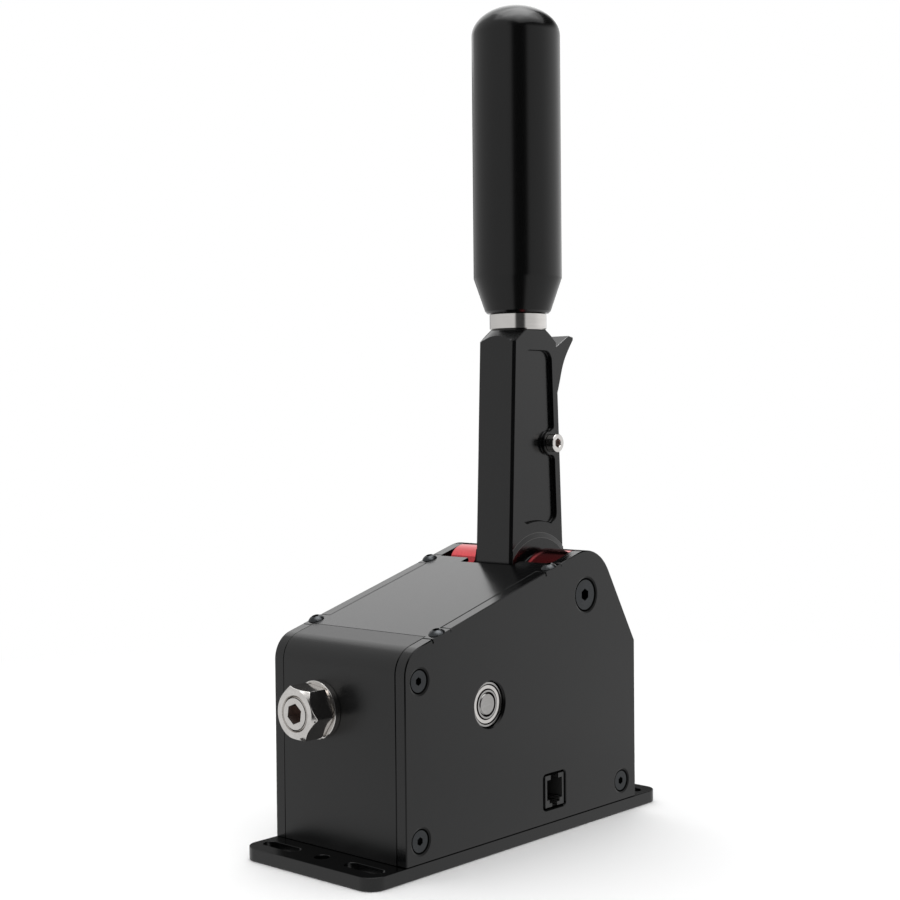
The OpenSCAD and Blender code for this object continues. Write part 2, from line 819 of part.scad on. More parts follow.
module jack_contacts() {
    wire = 0.45;
    start_x = half_w - jack_sunk - plug_d;
    color("gold") for (i = [0:contact_count - 1])
        translate([start_x, jack_y + (i - (contact_count - 1) / 2) * contact_pitch - wire / 2,
            cavity_z + plug_h / 2 - wire])
            rotate([0, 10, 0]) cube([plug_d * 0.6, wire, wire]);
}

module main_board() {
    w = board_y[1] - board_y[0];
    h = board_z[1] - board_z[0];
    color("darkgreen") along_x(board_x, board_x + board_t) difference() {
        translate([board_y[0] + w / 2, board_z[0] + h / 2]) rounded_rect(w, h, board_corner_r);
        for (p = board_hole_places) translate(p) circle(d = board_screw_d + 2 * turning_gap);
    }
}

module board_spacers() {
    color("silver") for (p = board_hole_places) difference() {
        x_rod(board_x + board_t, inner_w, spacer_d, p[0], p[1]);
        x_rod(board_x, board_x + board_t + spacer_l * 0.6, board_screw_d + 2 * fixed_gap, p[0], p[1]);
    }
}

module board_screws() {
    head_d = 4.5;
    head_h = 1.4;
    color("silver") for (p = board_hole_places) {
        x_rod(board_x - head_h, board_x, head_d, p[0], p[1]);
        x_rod(board_x - 0.1, board_x + board_t + spacer_l * 0.5, board_screw_d, p[0], p[1]);
    }
}

module angle_sensor() {
    color("black") translate([board_x - sensor_size[0], pivot_y - sensor_size[1] / 2,
        sensor_z - sensor_size[2] / 2]) cube(sensor_size);
}

module sensor_magnet() {
    color("silver") x_rod(tang_t / 2, tang_t / 2 + magnet_h, magnet_d, pivot_y, sensor_z);
}

// Lever

// Side view of the blade and hub, as (y, z)
module lever_outline() {
    touch = lever_hub_r * [cos(lever_tilt), sin(lever_tilt)];
    translate([pivot_y, pivot_z]) {
        polygon([
            [0, 0],
            touch,
            [lever_top_half, lever_rise],
            [-lever_top_half, lever_rise],
            [-touch[0], touch[1]]
        ]);
        circle(lever_hub_r);
    }
}

// Solid of revolution that turns the blade's top to a cone
module lever_crown() {
    reach = 2 * lever_hub_r;
    translate([0, pivot_y, 0]) rotate_extrude() polygon([
        [0, 0],
        [reach, 0],
        [reach, lever_top_z - reach + crown_r],
        [crown_r, lever_top_z],
        [0, lever_top_z]
    ]);
}

module lever_edge_cuts() {
    side = lever_chamfer * sqrt(2);
    start = lever_hub_r / 4;
    for (sx = [-1, 1], sy = [-1, 1])
        translate([sx * lever_w / 2, pivot_y, pivot_z]) rotate([sy * lever_tilt, 0, 0])
            translate([0, sy * lever_hub_r, start]) rotate(45) translate([-side / 2, -side / 2, 0])
                cube([side, side, lever_rise + lever_w]);
}

// What the lever's right side loses outside the round part above the hub, whose edge slopes
module pad_surround() {
    difference() {
        along_x(lever_w / 2, lever_w) translate([pivot_y - 2 * lever_hub_r, pivot_z])
            square([4 * lever_hub_r, lever_rise + 1]);
        on_side(lever_w / 2, pivot_y, pivot_z)
            cylinder(h = 2 * pad_step, r1 = pad_r, r2 = pad_r - 2 * pad_edge);
    }
}

module hub_boss() {
    x_rod(0, boss_reach - boss_chamfer, 2 * boss_r, pivot_y, pivot_z);
    on_side(boss_reach - boss_chamfer, pivot_y, pivot_z)
        cylinder(h = boss_chamfer, r1 = boss_r, r2 = boss_r - boss_chamfer);
}

module lower_arm_outline() {
    root_half = 12;
    polygon([
        [pivot_y - root_half, pivot_z - lever_hub_r / 2],
        [pivot_y - arm_end_r, rod_z],
        [pivot_y + arm_end_r, rod_z],
        [pivot_y + root_half, pivot_z - lever_hub_r / 2]
    ]);
    translate([pivot_y, rod_z]) circle(arm_end_r);
}

// Boss round the trigger's screw, with a blend above and below to the rim behind the pocket
module trigger_boss_outline() {
    rim = lever_hub_r - pocket_rear_rim - trigger_back * cos(lever_tilt) - trigger_up * sin(lever_tilt);
    blend_y = rim - boss_blend_r;
    blend_z = sqrt(pow(trigger_boss_r + boss_blend_r, 2) - pow(blend_y, 2));
    translate([trigger_y, trigger_z]) rotate(lever_tilt) {
        circle(trigger_boss_r);
        difference() {
            translate([blend_y, -blend_z]) square([2 * boss_blend_r, 2 * blend_z]);
            for (z = [-blend_z, blend_z]) translate([blend_y, z]) circle(boss_blend_r);
        }
    }
}

// Shallow pocket on a side face, clear of the hub and of the trigger's screw
module pocket_outline() {
    rear = pocket_rear_rim + pocket_corner_r;
    front = pocket_front_rim + pocket_corner_r;
    high_z = pocket_top_z - pocket_corner_r;
    // The lower corners dip a little into the round that the pocket ends at
    function foot_z(inset) = pivot_z + 0.95 * pocket_corner_r
        + sqrt(pow(pocket_r, 2) - pow(lever_half(pivot_z + pocket_r, inset), 2));
    difference() {
        rounded_outline([
            [pivot_y - lever_half(foot_z(front), front), foot_z(front)],
            [pivot_y + lever_half(foot_z(rear), rear), foot_z(rear)],
            [pivot_y + lever_half(high_z, rear), high_z],
            [pivot_y - lever_half(high_z, front), high_z]
        ], pocket_corner_r);
        translate([pivot_y, pivot_z]) circle(pocket_r);
        trigger_boss_outline();
    }
}

// Slot in the lever's back for the trigger
module trigger_slot_outline() {
    depth = 2 * lever_hub_r;
    low = tail_l + 2;
    translate([trigger_y, trigger_z]) {
        translate([0, -low]) square([depth, low + trigger_slot_top]);
        circle(trigger_hub_r + passing_gap);
    }
}

module lever_arm() {
    color("dimgray") difference() {
        union() {
            difference() {
                intersection() {
                    along_x(-lever_w / 2 - pad_step, lever_w / 2 + pad_step) lever_outline();
                    lever_crown();
                }
                both_sides() pad_surround();
                lever_edge_cuts();
            }
            both_sides() hub_boss();
            along_x(-tang_t / 2, tang_t / 2) lower_arm_outline();
        }
        x_rod(-boss_reach - 1, boss_reach + 1, bush_od + 2 * fixed_gap, pivot_y, pivot_z);
        x_rod(-tang_t, tang_t, rod_bolt_d + 2 * fixed_gap, pivot_y, rod_z);
        along_x(-trigger_slot_w / 2, trigger_slot_w / 2) trigger_slot_outline();
        x_rod(-lever_w, lever_w, trigger_screw_d + 2 * fixed_gap, trigger_y, trigger_z);
        y_rod(trigger_y - trigger_spring_depth, trigger_y + 1, trigger_spring_d + 2 * trigger_spring_wire,
            0, trigger_z + trigger_spring_up);
        translate([-switch_size[0] / 2, trigger_y - switch_size[1],
            trigger_z + switch_up - switch_size[2] / 2]) cube(switch_size + [0, 1, 0]);
        translate([0, pivot_y, grip_stud_low_z]) cylinder(h = grip_stud_l, d = grip_stud_d + 2 * fixed_gap);
        both_sides() along_x(lever_w / 2 - pocket_d, lever_w) pocket_outline();
    }
}

module lever_bushes() {
    middle_gap = 1;
    color("goldenrod") both_sides() difference() {
        x_rod(middle_gap, boss_reach, bush_od, pivot_y, pivot_z);
        x_rod(0, boss_reach + 1, axle_d + 2 * turning_gap, pivot_y, pivot_z);
    }
}

module rod_end_bolt() {
    head_x = eye_x - passing_gap;
    color("silver") {
        on_side(head_x - rod_bolt_head_h, pivot_y, rod_z) hex_prism(rod_bolt_s, rod_bolt_head_h);
        x_rod(head_x - 0.1, tang_t / 2 + rod_nut_h + 1, rod_bolt_d, pivot_y, rod_z);
    }
}

module rod_end_nut() {
    color("silver") difference() {
        on_side(tang_t / 2, pivot_y, rod_z) hex_prism(rod_bolt_s, rod_nut_h);
        x_rod(0, tang_t + rod_nut_h, rod_bolt_d + 2 * fixed_gap, pivot_y, rod_z);
    }
}

// Grip

module grip_ring() {
    edge = 0.5;
    color("silver") translate([0, pivot_y, lever_top_z]) rotate_extrude() polygon([
        [grip_stud_d / 2 + fixed_gap, 0],
        [ring_d / 2 - edge, 0],
        [ring_d / 2, edge],
        [ring_d / 2, ring_h - edge],
        [ring_d / 2 - edge, ring_h],
        [grip_stud_d / 2 + fixed_gap, ring_h]
    ]);
}

module grip_stud() {
    color("silver") translate([0, pivot_y, grip_stud_low_z]) cylinder(h = grip_stud_l, d = grip_stud_d);
}

module grip() {
    steps = 14;
    edge = 0.8;
    dome_z = grip_l - dome_h;
    color("black") translate([0, pivot_y, grip_z]) difference() {
        rotate_extrude() polygon(concat(
            [[0, 0], [grip_foot_d / 2 - edge, 0], [grip_foot_d / 2, edge], [grip_d / 2, grip_cone_l]],
            [for (i = [0:steps]) let (a = 90 * i / steps)
                [grip_d / 2 * cos(a), dome_z + dome_h * sin(a)]]
        ));
        translate([0, 0, -1]) cylinder(h = grip_stud_l - 24, d = grip_stud_d + 2 * fixed_gap);
    }
}

// Trigger

// Side view of the trigger about its own pivot, as (y, z)
module trigger_outline() {
    hollow_top = trigger_tip - [0, trigger_tip_t];
    chord = hollow_top - trigger_heel;
    sag = finger_r - sqrt(finger_r * finger_r - chord * chord / 4);
    outward = [chord[1], -chord[0]] / norm(chord);
    difference() {
        polygon([
            [0.8, -tail_l],
            [3.4, -tail_l],
            [trigger_hub_r, -1],
            trigger_heel,
            hollow_top,
            trigger_tip,
            [15.7, 41.6],
            [6, 36.1],
            [31 * tan(squeeze_deg) + 0.5, 31],
            [0.6, trigger_hub_r],
            [0.4, -trigger_hub_r]
        ]);
        translate((hollow_top + trigger_heel) / 2 + (finger_r - sag) * outward) circle(finger_r, $fn = 96);
    }
    circle(trigger_hub_r);
}

module trigger() {
    color("dimgray") difference() {
        along_x(-trigger_w / 2, trigger_w / 2) translate([trigger_y, trigger_z]) trigger_outline();
        x_rod(-trigger_w, trigger_w, trigger_screw_d + 2 * turning_gap, trigger_y, trigger_z);
    }
}

module trigger_screw() {
    color("silver") difference() {
        union() {
            x_rod(-lever_w / 2, lever_w / 2 + 0.1, trigger_screw_d, trigger_y, trigger_z);
            on_side(lever_w / 2, trigger_y, trigger_z)
                cylinder(h = trigger_screw_head_h, d = trigger_screw_head_d);
        }
        on_side(lever_w / 2 + trigger_screw_head_h, trigger_y, trigger_z) hex_socket(3, 2);
    }
}

module trigger_spring() {
    seat_y = trigger_y - trigger_spring_depth + passing_gap;
    color("silver") translate([0, seat_y, trigger_z + trigger_spring_up]) rotate([-90, 0, 0])
        coil(trigger_spring_d, trigger_spring_wire, trigger_spring_l, trigger_spring_turns,
            "trigger spring");
}

module trigger_switch() {
    button_d = 2;
    button_h = 0.15;
    color("black") {
        translate([-switch_size[0] / 2, trigger_y - switch_size[1],
            trigger_z + switch_up - switch_size[2] / 2]) cube(switch_size);
        y_rod(trigger_y - 0.1, trigger_y + button_h, button_d, 0, trigger_z + switch_up);
    }
}

// Pull rod

module rod_end() {
    neck_d = 11;
    color("gray") difference() {
        union() {
            x_rod(eye_x, eye_x + eye_w, 2 * eye_r, pivot_y, rod_z);
            intersection() {
                y_rod(rod_end_front_y, pivot_y, neck_d, rod_x, rod_z);
                translate([eye_x, front_y, 0]) cube([eye_w, body_l, pivot_z]);
            }
        }
        x_rod(eye_x - 1, eye_x + eye_w + 1, rod_bolt_d + 2 * turning_gap, pivot_y, rod_z);
    }
}

module pull_rod() {
    color("silver") y_rod(rod_front_y, rod_end_front_y, rod_d, rod_x, rod_z);
}

module spring_seat() {
    pilot_d = spring_d - spring_wire - 0.6;
    color("gray") difference() {
        union() {
            y_rod(seat_y, spring_front_y, seat_flange_d, rod_x, rod_z);
            y_rod(seat_y, spring_front_y + seat_hub_l, pilot_d, rod_x, rod_z);
        }
        y_rod(seat_y - 1, spring_front_y + seat_hub_l + 1, rod_d + 2 * fixed_gap, rod_x, rod_z);
    }
}

module return_spring() {
    color("silver") translate([rod_x, spring_front_y, rod_z]) rotate([-90, 0, 0])
        coil(spring_d, spring_wire, spring_rear_y - spring_front_y, spring_turns, "return spring");
}

base_plate();
base_screws();
right_side_plate();
left_side_plate();
side_plate_screws();
front_block();
rear_block();
top_cover();
cover_screws();
pivot_axle();
pivot_screws();
right_hub_collar();
left_hub_collar();
bearing_outer_rings();
bearing_balls();
bearing_shields();
bearing_inner_rings();
cross_bar();
cross_bar_bush();
stop_screw();
lock_nut();
lock_washer();
modular_jack();
jack_contacts();
main_board();
board_spacers();
board_screws();
angle_sensor();
lever_arm();
lever_bushes();
sensor_magnet();
rod_end_bolt();
rod_end_nut();
grip_ring();
grip_stud();
grip();
trigger();
trigger_screw();
trigger_spring();
trigger_switch();
rod_end();
pull_rod();
spring_seat();
return_spring();
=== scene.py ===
import json
import math

import bmesh
import bpy
from mathutils import Matrix, Vector


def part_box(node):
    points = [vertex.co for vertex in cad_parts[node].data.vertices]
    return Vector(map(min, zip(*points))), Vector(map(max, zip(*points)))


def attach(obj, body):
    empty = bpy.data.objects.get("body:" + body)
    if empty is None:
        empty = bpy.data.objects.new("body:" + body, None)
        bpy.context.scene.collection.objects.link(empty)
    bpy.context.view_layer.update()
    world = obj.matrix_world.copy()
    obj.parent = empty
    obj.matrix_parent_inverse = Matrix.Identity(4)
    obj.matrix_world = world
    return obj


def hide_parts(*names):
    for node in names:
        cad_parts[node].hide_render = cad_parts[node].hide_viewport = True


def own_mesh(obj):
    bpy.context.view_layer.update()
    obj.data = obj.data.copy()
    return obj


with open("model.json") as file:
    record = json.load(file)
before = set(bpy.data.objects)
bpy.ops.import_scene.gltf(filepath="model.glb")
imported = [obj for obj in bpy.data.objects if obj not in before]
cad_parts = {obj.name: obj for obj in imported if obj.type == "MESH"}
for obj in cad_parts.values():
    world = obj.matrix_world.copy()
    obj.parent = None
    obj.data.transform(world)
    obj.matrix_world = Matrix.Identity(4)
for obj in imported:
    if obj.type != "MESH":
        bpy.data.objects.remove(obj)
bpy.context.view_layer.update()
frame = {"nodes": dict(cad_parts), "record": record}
NODES = frame["nodes"]
RECORD = frame["record"]
BODY_OF = {
    node: body
    for body, members in RECORD["behaviour"]["bodies"].items()
    for node in members
}
SLOT_OF = {piece["node"]: piece["material_slot"] for piece in RECORD["subparts"]}
MM = 0.001

# Camera, fitted to the photograph: its turn, tilt and roll, its place in metres, its lens and
# sensor in millimetres, and the distances between which it sees
YAW, PITCH, ROLL = (math.radians(a) for a in (41.987, 1.352, -0.539))
CAMERA_AT = Vector((0.38369, -0.43235, 0.15280))
LENS_MM, SENSOR_MM = 63.05, 36.0
CLIP_START, CLIP_END = 0.01, 50.0

# The room as reflections see it: the direction of its dark side, which lies behind the camera, and
# the brightness of its walls and of its floor by the turn from there in degrees
DARK_SIDE = YAW - math.radians(88.0)
WALLS = [
    (-180, 0.85), (-160, 0.62), (-125, 0.72), (-90, 0.76), (-19, 0.78), (-12, 0.05),
    (20, 0.05), (28, 0.7), (65, 0.78), (95, 1.0), (150, 1.0), (180, 0.85),
]
FLOOR = [
    (-180, 0.8), (-125, 0.76), (-19, 0.76), (-12, 0.05),
    (20, 0.05), (29, 0.74), (95, 0.84), (180, 0.8),
]

# The room is dark low down behind the object, and high up on its right: the share of light left by
# the same turn, and the sines of the heights at which that starts and is complete
SHADES = [
    (
        [(-180, 0.03), (-170, 0.03), (-160, 1.0), (156, 1.0), (166, 0.03), (180, 0.03)],
        (0.42, 0.28),
    ),
    (
        [(-180, 1.0), (-30, 1.0), (0, 0.05), (145, 0.05), (165, 1.0), (180, 1.0)],
        (0.3, 0.5),
    ),
]

# The floor: half its width, and how far it lies under the base
FLOOR_REACH, FLOOR_DROP = 8.0, 0.2 * MM
# The floor's brightness in reflections close to the object, and the distances from the middle over
# which that gives way to the levels above
FLOOR_NEAR, NEAR_SPAN = 0.78, (0.13, 0.24)
# The distances from the middle over which the camera sees the floor run out into white
FADE_SPAN = (0.12, 0.5)

# Lamps: name, place and aim in metres, size in metres and power in watts
LAMPS = [
    ("behind", (-0.95, 0.75, 1.1), (0.0, -0.02, 0.09), (1.3, 1.2), 3.7),
    ("above", (-0.13, 0.18, 1.5), (0.0, 0.03, 0.3), (0.95, 0.95), 4.2),
]
# Three lamps in one place, which fade together towards the rim of the largest and show in
# reflections alone: place and aim, then their sizes and powers
OVERHEAD_AT, OVERHEAD_AIM = (0.28, 0.02, 1.54), (0.0, 0.034, 0.3)
OVERHEAD = [((0.8, 0.6), 6.0), ((1.3, 1.1), 12.0), ((1.9, 2.0), 16.0)]

# Sockets of the Mix node for numbers and for colours: factor, first, second and result
MIX_SOCKETS = {"FLOAT": (0, 2, 3, 0), "RGBA": (0, 6, 7, 2)}

# Copies of CAD meshes: points this close are welded, and faces that turn less than this are one
WELD, FLAT_DEG = 0.002 * MM, 0.3
# Edges between two CAD faces: from the first turn on they are creases, from the second broken
CREASE_DEG, SHARP_DEG = 11.0, 28.0
# Edges of these lengths stay sharp: the cover's ears and their slots in the side plates lie flush
FLUSH_L, FLUSH_TOL = (9.0 * MM, 9.4 * MM), 0.02 * MM
# How much large faces outweigh small ones in the shading of a copy
FACE_WEIGHT = 60

# Countersinks and the bearing rings' own chamfers slant to the sides by a cosine between these
SLANT = (0.5, 0.85)
# Upper faces look upward by at least this cosine
UPWARD = 0.4

# The front ends of the nut and the stop screw are eased over this length
END_L = 1.2 * MM
# The nut: its face, the slope of its corners, its bore and the share of its mouth that is kept
NUT_FACE_R, NUT_CONE, BORE_R, MOUTH = 8.245 * MM, 1.08, 6.05 * MM, 0.4
# The stop screw: its radius, the radius from which its end is eased, and the share of the end's
# chamfer that is kept
SCREW_R, SCREW_END_R, SCREW_END = 6.0 * MM, 4.9 * MM, 0.5

# The trigger's back, which lies behind this plane, is hollowed deeper between these heights, by
# this much half way
TRIGGER_BACK_Y, HOLLOW_Z, HOLLOW = 48.5 * MM, (162.0 * MM, 183.5 * MM), 0.95 * MM

# The floors of the lever's side pockets: their distance from its middle, within a tolerance, and
# how much they are raised
POCKET_X, POCKET_TOL, POCKET_RAISE = 7.3 * MM, 0.01 * MM, 0.45 * MM

# Hexagon sockets of screws, whose insides take a painted shade: the axis and the sense in which
# they open, the radius around them, and the depth from which a face lies inside
SOCKETS = {
    "stop_screw": dict(axis=1, outward=-1, radius=4.2 * MM),
    "trigger_screw": dict(axis=0, outward=1, radius=2.0 * MM),
}
SOCKET_DEPTH = 0.3 * MM

# The grip's outline, as in the CAD model, and how finely it is turned
GRIP_FOOT_R, GRIP_EDGE = 12.5 * MM, 0.8 * MM
GRIP_CONE_L, GRIP_DOME_H = 13.4 * MM, 11.4 * MM
GRIP_SIDES, DOME_STEPS = 160, 48
GRIP_WELD = 0.001 * MM


def link_to_scene(obj):
    bpy.context.scene.collection.objects.link(obj)


def add_camera():
    """The photograph's camera."""
    forward = Vector((
        -math.sin(YAW) * math.cos(PITCH), math.cos(YAW) * math.cos(PITCH), -math.sin(PITCH),
    ))
    right = Vector((math.cos(YAW), math.sin(YAW), 0.0))
    up = right.cross(forward)
    right_rolled = right * math.cos(ROLL) + up * math.sin(ROLL)
    up_rolled = up * math.cos(ROLL) - right * math.sin(ROLL)
    data = bpy.data.cameras.new("camera")
    data.sensor_width = SENSOR_MM
    data.lens = LENS_MM
    data.clip_start = CLIP_START
    data.clip_end = CLIP_END
    camera = bpy.data.objects.new("camera", data)
    turn = Matrix((right_rolled, up_rolled, -forward)).transposed()
    camera.matrix_world = Matrix.Translation(CAMERA_AT) @ turn.to_4x4()
    link_to_scene(camera)
    bpy.context.scene.camera = camera


# Nodes of materials and of the world


def grey(v, tint=0.0):
    return (v * (1 - tint), v, v * (1 + tint))


def opaque(colour):
    return (*colour, 1.0)


WHITE = opaque(grey(1.0))


class Nodes:
    """Short names for building a node tree."""

    def __init__(self, tree):
        self.tree = tree

    def add(self, kind, **sockets):
        node = self.tree.nodes.new(kind)
        for key, value in sockets.items():
            self.feed(node, key.replace("_", " "), value)
        return node

    def feed(self, node, key, value):
        if isinstance(value, bpy.types.NodeSocket):
            self.tree.links.new(value, node.inputs[key])
        else:
            node.inputs[key].default_value = value

    def calculate(self, operation, a, b):
        node = self.add("ShaderNodeMath")
        node.operation = operation
        self.feed(node, 0, a)
        self.feed(node, 1, b)
        return node.outputs[0]

    def mix(self, share, a, b, blend="MIX", kind="RGBA"):
        node = self.add("ShaderNodeMix")
        node.data_type = kind
        node.blend_type = blend
        *inputs, result = MIX_SOCKETS[kind]
        for key, value in zip(inputs, (share, a, b)):
            self.feed(node, key, value)
        return node.outputs[result]

    def span(self, value, source=(0.0, 1.0), target=(0.0, 1.0), smooth=False):
        """Carries a number from one range over to another."""
        node = self.add(
            "ShaderNodeMapRange", Value=value,
            From_Min=source[0], From_Max=source[1], To_Min=target[0], To_Max=target[1],
        )
        if smooth:
            node.interpolation_type = "SMOOTHSTEP"
        return node.outputs["Result"]

    def ramp(self, share, stops):
        node = self.add("ShaderNodeValToRGB", Fac=share)
        ramp = node.color_ramp
        for element, (at, colour) in zip(ramp.elements, stops):
            element.position = at
            element.color = opaque(colour)
        for at, colour in stops[2:]:
            ramp.elements.new(at).color = opaque(colour)
        return node.outputs["Color"]

    def ring(self, vector, levels):
        """Brightness of a place or direction by its turn about the vertical from the dark side."""
        turned = self.add("ShaderNodeVectorRotate", Vector=vector, Angle=-DARK_SIDE)
        turned.rotation_type = "Z_AXIS"
        flat = self.add("ShaderNodeSeparateXYZ", Vector=turned.outputs["Vector"])
        turn = self.calculate("ARCTAN2", flat.outputs["Y"], flat.outputs["X"])
        share = self.span(turn, source=(-math.pi, math.pi))
        return self.ramp(share, [(0.5 + degrees / 360, grey(level)) for degrees, level in levels])


class Surface(Nodes):
    """A material's nodes, in object space."""

    def __init__(self, name):
        self.material = bpy.data.materials.new(name)
        self.material.use_nodes = True
        super().__init__(self.material.node_tree)
        self.shader = self.tree.nodes["Principled BSDF"]
        self.coords = self.add("ShaderNodeTexCoord").outputs["Object"]

    def noise(self, scale, detail=2.0, rough=0.5, stretch=None):
        at = self.coords
        if stretch:
            at = self.add("ShaderNodeMapping", Vector=at, Scale=stretch).outputs["Vector"]
        node = self.add(
            "ShaderNodeTexNoise", Vector=at, Scale=scale, Detail=detail, Roughness=rough,
        )
        return node.outputs["Fac"]

    def vary(self, value, middle, below, above):
        """Varies a number about its middle."""
        return self.span(value, target=(middle - below, middle + above))

    def bump(self, height, strength, distance):
        node = self.add("ShaderNodeBump", Height=height, Strength=strength, Distance=distance)
        return node.outputs["Normal"]

    def finish(self, **sockets):
        for key, value in sockets.items():
            self.feed(self.shader, key.replace("_", " "), value)
        return self.material


# Materials


def blasted_anodised(name, dark, light, rough, grain, metallic=0.0, gloss=0.5):
    """Bead-blasted aluminium under a dyed oxide: a fine grain and faint cloudiness."""
    n = Surface(name)
    cloud = n.noise(scale=28.0, detail=3.0, rough=0.55)
    fine = n.noise(scale=2600.0, detail=1.5, rough=0.6)
    tone = n.ramp(cloud, [(0.3, dark), (0.72, light)])
    speck = n.ramp(fine, [(0.35, grey(0.82)), (0.7, grey(1.2))])
    return n.finish(
        Base_Color=n.mix(share=1.0, a=tone, b=speck, blend="MULTIPLY"),
        Roughness=n.vary(fine, rough, below=0.04, above=0.05),
        Metallic=metallic,
        Specular_IOR_Level=gloss,
        Normal=n.bump(fine, strength=grain, distance=0.06 * MM),
    )


def turned_metal(name, dark, light, rough, along):
    """Bright metal with fine tool marks across the given axis."""
    n = Surface(name)
    coarse, fine = 40.0, 2600.0
    stretch = [fine if axis == along else coarse for axis in range(3)]
    marks = n.noise(scale=1.0, detail=4.0, rough=0.65, stretch=stretch)
    cloud = n.noise(scale=90.0)
    return n.finish(
        Base_Color=n.ramp(n.mix(share=0.4, a=marks, b=cloud), [(0.3, dark), (0.7, light)]),
        Metallic=1.0,
        Roughness=n.vary(marks, rough, below=0.07, above=0.09),
        Normal=n.bump(marks, strength=0.08, distance=0.03 * MM),
    )


def plain_metal(name, dark, light, rough, grain):
    """Metal with a fine even grain, such as a plated or blackened screw."""
    n = Surface(name)
    fine = n.noise(scale=1900.0, detail=3.0, rough=0.6)
    cloud = n.noise(scale=140.0, detail=3.0, rough=0.6)
    return n.finish(
        Base_Color=n.ramp(n.mix(share=0.5, a=fine, b=cloud), [(0.32, dark), (0.7, light)]),
        Metallic=1.0,
        Roughness=n.vary(cloud, rough, below=0.06, above=0.08),
        Normal=n.bump(fine, strength=grain, distance=0.04 * MM),
    )


def moulded(name, dark, light, rough, scale=900.0):
    """Moulded plastic with a fine eroded texture."""
    n = Surface(name)
    fine = n.noise(scale=scale, detail=3.0, rough=0.6)
    cloud = n.noise(scale=60.0)
    return n.finish(
        Base_Color=n.ramp(cloud, [(0.3, dark), (0.7, light)]),
        Roughness=n.vary(fine, rough, below=0.05, above=0.07),
        Normal=n.bump(fine, strength=0.2, distance=0.05 * MM),
    )


# Materials by name: how each is made, then its darkest and lightest colour, roughness and the rest
LOOKS = {
    "black_anodised": (blasted_anodised, dict(
        dark=grey(0.001, 0.1), light=grey(0.0018, 0.1), rough=0.18, grain=0.35, gloss=0.44)),
    "blasted_front": (blasted_anodised, dict(
        dark=grey(0.001, 0.1), light=grey(0.0018, 0.1), rough=0.3, grain=0.14, gloss=0.44)),
    # Painted shade: a darker, duller copy of the anodised finish, for broken edges and the
    # trigger's upper faces
    "anodised_edge": (blasted_anodised, dict(
        dark=grey(0.0008, 0.1), light=grey(0.0014, 0.1), rough=0.2, grain=0.05, gloss=0.22)),
    # Painted shade: a darker, duller copy of the anodised finish, for the base plate's upper faces
    "anodised_top": (blasted_anodised, dict(
        dark=grey(0.0006, 0.1), light=grey(0.001, 0.1), rough=0.24, grain=0.05, gloss=0.08)),
    # Painted highlight: a lighter anodised finish for the lever's shallow creases
    "rubbed_edge": (blasted_anodised, dict(
        dark=grey(0.03), light=grey(0.06), rough=0.3, grain=0.05)),
    # Painted highlight: a lighter anodised finish for the trigger's broken edges
    "worn_edge": (blasted_anodised, dict(
        dark=grey(0.12), light=grey(0.2), rough=0.3, grain=0.05)),
    "red_anodised": (blasted_anodised, dict(
        dark=(0.4, 0.036, 0.042), light=(0.5, 0.056, 0.064), rough=0.07, grain=0.04, metallic=1.0)),
    "steel": (plain_metal, dict(
        dark=grey(0.56, -0.03), light=grey(0.72, -0.03), rough=0.13, grain=0.05)),
    # Painted shade: darker, browner steel for the faces inside hexagon sockets
    "socket": (plain_metal, dict(
        dark=(0.26, 0.21, 0.19), light=(0.46, 0.38, 0.35), rough=0.4, grain=0.1)),
    # Painted shade: near-black for countersinks, the bearing rings' chamfers and the broken edges
    # of screws, cross bar and jack
    "gap": (blasted_anodised, dict(
        dark=grey(0.0004), light=grey(0.0008), rough=0.5, grain=0.05, gloss=0.03)),
    "bearing_steel": (plain_metal, dict(
        dark=grey(0.34, -0.02), light=grey(0.46, -0.02), rough=0.2, grain=0.06)),
    "polished_steel": (turned_metal, dict(
        dark=grey(0.56, -0.03), light=grey(0.68, -0.03), rough=0.12, along=2)),
    "black_steel": (plain_metal, dict(
        dark=grey(0.04, 0.05), light=grey(0.06, 0.05), rough=0.24, grain=0.08)),
    "bronze": (plain_metal, dict(
        dark=(0.42, 0.25, 0.09), light=(0.62, 0.42, 0.19), rough=0.32, grain=0.12)),
    "black_plastic": (moulded, dict(
        dark=grey(0.014), light=grey(0.022), rough=0.4)),
    "circuit_board": (moulded, dict(
        dark=(0.008, 0.06, 0.024), light=(0.014, 0.1, 0.04), rough=0.3, scale=400.0)),
    "grip_black": (blasted_anodised, dict(
        dark=grey(0.0006, 0.05), light=grey(0.001, 0.05), rough=0.19, grain=0.03, gloss=0.36)),
}


# Shapes


def patches(bm):
    """Numbers the CAD faces, which the mesh keeps apart, in a layer that survives welding."""
    layer = bm.faces.layers.int.new("patch")
    bm.faces.ensure_lookup_table()
    count = 0
    for first in bm.faces:
        if first[layer]:
            continue
        count += 1
        first[layer] = count
        waiting = [first]
        while waiting:
            for edge in waiting.pop().edges:
                for face in edge.link_faces:
                    if not face[layer]:
                        face[layer] = count
                        waiting.append(face)
    return layer


def turn_at(edge):
    return math.degrees(edge.calc_face_angle(0.0)) if len(edge.link_faces) == 2 else 0.0


def is_flush(edge):
    return any(abs(edge.calc_length() - flush) < FLUSH_TOL for flush in FLUSH_L)


def slanted(normal):
    return SLANT[0] < abs(normal.x) < SLANT[1]


def upward(normal):
    return normal.z > UPWARD


def mark_creases(bm, patch):
    """Makes the edges between CAD faces crisp, and returns those that are too shallow to break."""
    shallow = []
    for edge in bm.edges:
        sides = {face[patch] for face in edge.link_faces}
        edge.smooth = not (len(sides) > 1 and CREASE_DEG < turn_at(edge))
        if not edge.smooth and turn_at(edge) < SHARP_DEG:
            shallow.append(edge)
    return shallow


